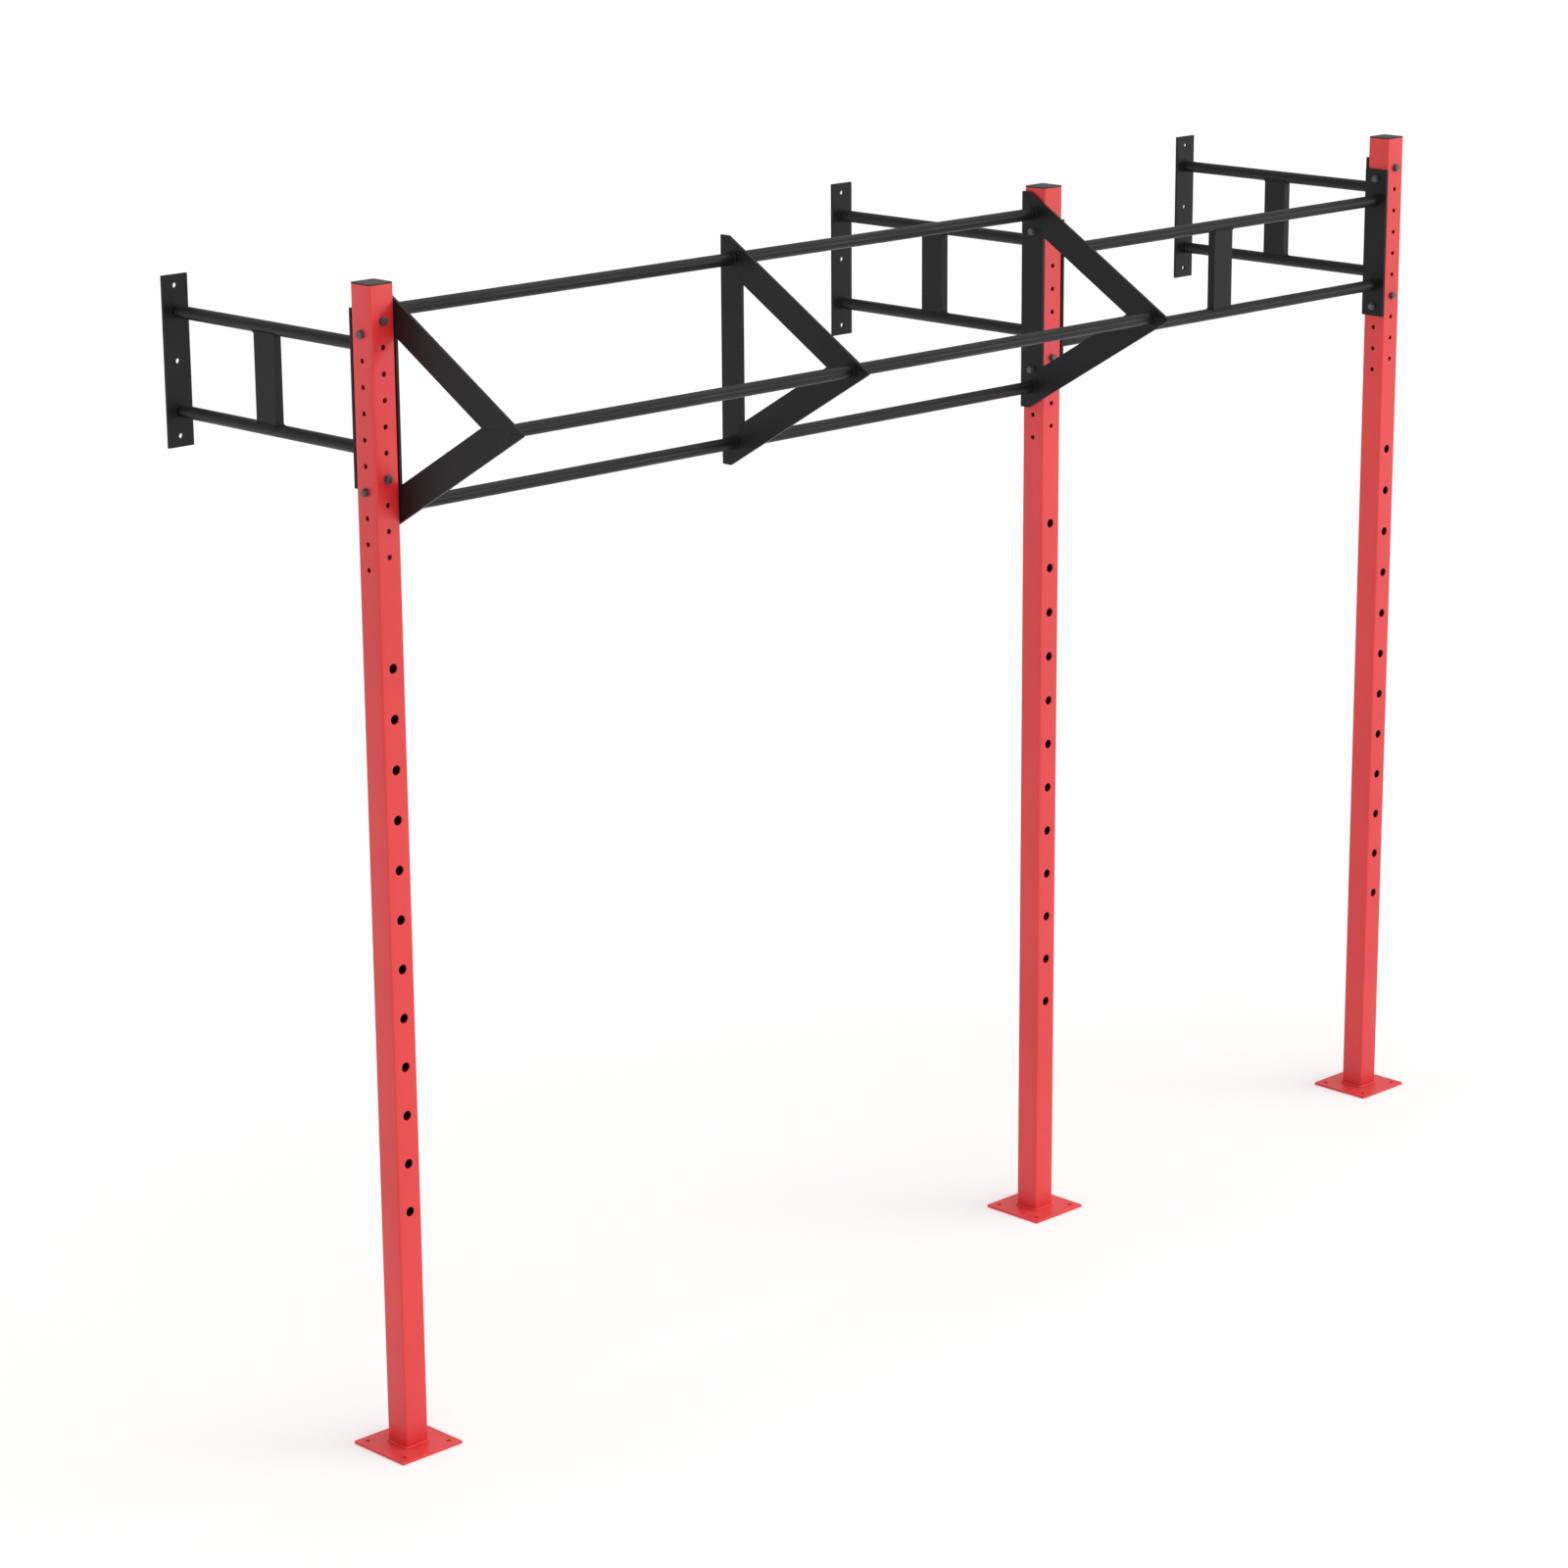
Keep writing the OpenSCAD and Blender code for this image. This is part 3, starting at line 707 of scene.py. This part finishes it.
def fasteners(group, axis):
    """The two bolts of a joint with their nuts and washers; axis is the way the bolts point."""
    low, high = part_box(group + "_washers")
    head_low, tip = (corner[axis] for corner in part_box(group + "_bolts"))
    nut_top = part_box(group + "_nuts")[1][axis]
    washer_wide = high[1 - axis] - low[1 - axis]
    middle = (low + high) / 2
    turn = (0.0, math.pi / 2, 0.0) if axis == 0 else (-math.pi / 2, 0.0, 0.0)

    def fitted(tree, kind, stations, **sizes):
        points = []
        for station in stations:
            for height in (low.z + washer_wide / 2, high.z - washer_wide / 2):
                point = middle.copy()
                point[axis] = station
                point.z = height
                points.append(point)
        name = f"{group}_{tree.name}s"
        seeds = bpy.data.meshes.new(name + "_points")
        seeds.from_pydata(points, [], [])
        mesh = shaped(tree, name, seeds, zinc_flake, Turn=turn, **sizes)
        finished(mesh, name, zinc_flake, "grey_fasteners", f"{group}_{kind}")

    fitted(hex_bolt, "bolts", [low[axis]], Across_Flats=across_flats,
           Head_Height=low[axis] - head_low, Reach=tip - low[axis],
           Thread_Length=tip - nut_top + thread_in_nut)
    fitted(hex_nut, "nuts", [high[axis]], Across_Flats=across_flats, Height=nut_top - high[axis])
    fitted(plain_washer, "washers", [low[axis], high[axis] - washer_thickness],
           Diameter=washer_wide, Thickness=washer_thickness)


for side in SIDES:
    fasteners(side + "_bracket", 1)

# ---- Triangles -------------------------------------------------------------------
# Three flat bars, mitred and welded into a triangle that stands on edge.  The outer
# two are bolted to their uprights and the middle one hangs on the pull-up bars.  The
# sharp corners are sawn off before coating.

for side in SIDES:
    for part in ("leg", "upper_arm", "lower_arm"):
        softened(f"{side}_triangle_{part}", plate_round, frame_black, "black_powder_coat")

# ---- Triangle welds --------------------------------------------------------------
# A low bead of weld lies along each mitre, on both faces of the flat bar.  It is
# dressed flat where a bar or an upright sits on it, and coated with the triangle.

mitre_bead = 0.0040
mitre_sink = 0.0031
bar_clearance = 0.002
PULLUP_BARS = ("pullup_top_bar", "pullup_nose_bar", "pullup_bottom_bar")


def mitre_lines(one, other):
    """Both ends of the joint of two flat bars, on their low and on their high X face."""
    places = [{tuple(round(number, 4) for number in corner.co)
               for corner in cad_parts[node].data.vertices} for node in (one, other)]
    shared = sorted(places[0] & places[1])
    faces = [[Vector(corner) for corner in shared if corner[0] == face_x]
             for face_x in (shared[0][0], shared[-1][0])]
    return [(face[0], face[-1]) for face in faces]


def clear_runs(start, end):
    """The parts of a straight seam that no pull-up bar sits on."""
    runs = [[]]
    for step in range(2, 99):
        point = start.lerp(end, step / 100)
        free = True
        for bar in PULLUP_BARS:
            low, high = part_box(bar)
            off = Vector(((low.y + high.y) / 2 - point.y, (low.z + high.z) / 2 - point.z))
            free = free and off.length > (high.z - low.z) / 2 + bar_clearance
        if free:
            runs[-1].append(point)
        elif runs[-1]:
            runs.append([])
    return [run for run in runs if len(run) > 2]


# The face of a leg that lies against an upright has its beads dressed off.
mitre_paths = []
for side in SIDES:
    joints = [(side + "_triangle_leg", side + "_triangle_upper_arm"),
              (side + "_triangle_leg", side + "_triangle_lower_arm"),
              (side + "_triangle_upper_arm", side + "_triangle_lower_arm")]
    for one, other in joints:
        dressed_face = {"left": -1, "middle": 0, "right": 1}[side] if one.endswith("leg") else 0
        for face, (start, end) in zip((-1, 1), mitre_lines(one, other)):
            if face != dressed_face:
                inward = Vector((-face * mitre_sink, 0, 0))
                mitre_paths += clear_runs(start + inward, end + inward)
weld("triangle_welds", mitre_paths, False, frame_black, "black_powder_coat", mitre_bead)

# ---- Pull-up bars ----------------------------------------------------------------
# Three round tubes, welded to the outer triangles and passed through the middle one.
# Coated black, and rubbed smoother in patches by hands.

for bar in PULLUP_BARS:
    coat_node(bar, bar_black)

# ---- Pull-up bar welds -----------------------------------------------------------
# Each bar is welded all round to the outer triangles at its two ends, and to both
# faces of the middle triangle where it passes through.

middle_low, middle_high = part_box("middle_triangle_leg")
middle_faces = (middle_low.x - frame_sink, middle_high.x + frame_sink)
pullup_paths = [bar_ring(bar, 0, station) for bar in PULLUP_BARS
                for station in bar_ends(bar, 0) + middle_faces]
weld("pullup_bar_welds", pullup_paths, True, frame_black, "black_powder_coat", frame_bead)

# ---- Crossmember -----------------------------------------------------------------
# Two round tubes with a flat plate at each end and a strut between them at the
# middle.  It spans the short bay, and is welded and coated like the brackets.

for part in ("left_plate", "right_plate", "strut"):
    softened("crossmember_" + part, plate_round, frame_black, "black_powder_coat")
for bar in ("crossmember_upper_bar", "crossmember_lower_bar"):
    coat_node(bar, bar_black)

cross_paths = []
for bar in ("crossmember_upper_bar", "crossmember_lower_bar"):
    cross_paths += [bar_ring(bar, 0, station) for station in bar_ends(bar, 0)]
    cross_paths.append(strut_loop("crossmember_strut", bar, 0))
weld("crossmember_welds", cross_paths, True, frame_black, "black_powder_coat", frame_bead)

# ---- Side bolts ------------------------------------------------------------------
# Two more bolts run through each upright along the row.  They hold the triangles and
# the crossmember, and at the middle upright the same two bolts hold both.

for side in SIDES:
    fasteners(side + "_side", 0)
